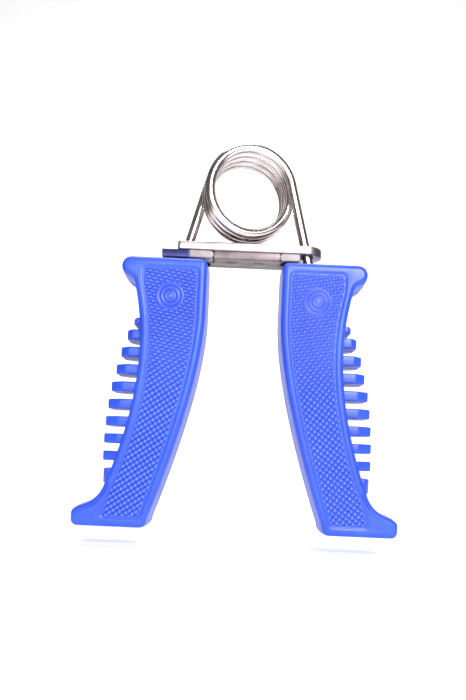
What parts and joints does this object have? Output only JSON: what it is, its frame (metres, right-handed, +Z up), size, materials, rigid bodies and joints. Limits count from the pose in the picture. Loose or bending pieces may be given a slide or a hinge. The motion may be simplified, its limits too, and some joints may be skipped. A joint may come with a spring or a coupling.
{
  "type": "hand grip strengthener",
  "caption": "Hand grip strengthener: two curved ribbed handles on a torsion spring, tied by slotted steel plates.",
  "frame": {"origin": "middle of the object on the flat surface that its two handles stand on", "axes": "+Z up from the handles' feet to the coil, +X across to the right handle, -Y towards the front"},
  "size_m": [0.1262, 0.022, 0.1508],
  "materials": {
    "handle_plastic": "semi-gloss moulded, knurled panel",
    "spring_steel": "bright plated wire",
    "plate_steel": "bright plated sheet",
    "pad_plastic": "light moulded"
  },
  "bodies": {
    "tie": {"spring_coil": "spring_steel", "upper_tie_plate": "plate_steel", "lower_tie_plate": "plate_steel", "left_glide_pad": "pad_plastic", "right_glide_pad": "pad_plastic", "tie_plate_rivets": "plate_steel"},
    "right_grip": {"right_handle_front": "handle_plastic", "right_handle_rear": "handle_plastic", "spring_leg_right": "spring_steel"},
    "left_grip": {"left_handle_front": "handle_plastic", "left_handle_rear": "handle_plastic", "spring_leg_left": "spring_steel"}
  },
  "joints": [
    {"name": "right_squeeze", "type": "hinge", "parent": "tie", "child": "right_grip", "pos_m": [0, 0, 0.1328], "axis": [0, 1, 0], "range_deg": [0, 12.5], "stiffness_Nm_per_rad": 12, "springref_deg": -11.46},
    {"name": "left_squeeze", "type": "hinge", "parent": "tie", "child": "left_grip", "pos_m": [0, 0, 0.1328], "axis": [0, -1, 0], "range_deg": [0, 12.5], "stiffness_Nm_per_rad": 12, "springref_deg": -11.46}
  ],
  "couplings": [
    {"joint": "left_squeeze", "follows": "right_squeeze", "ratio": 1}
  ]
}
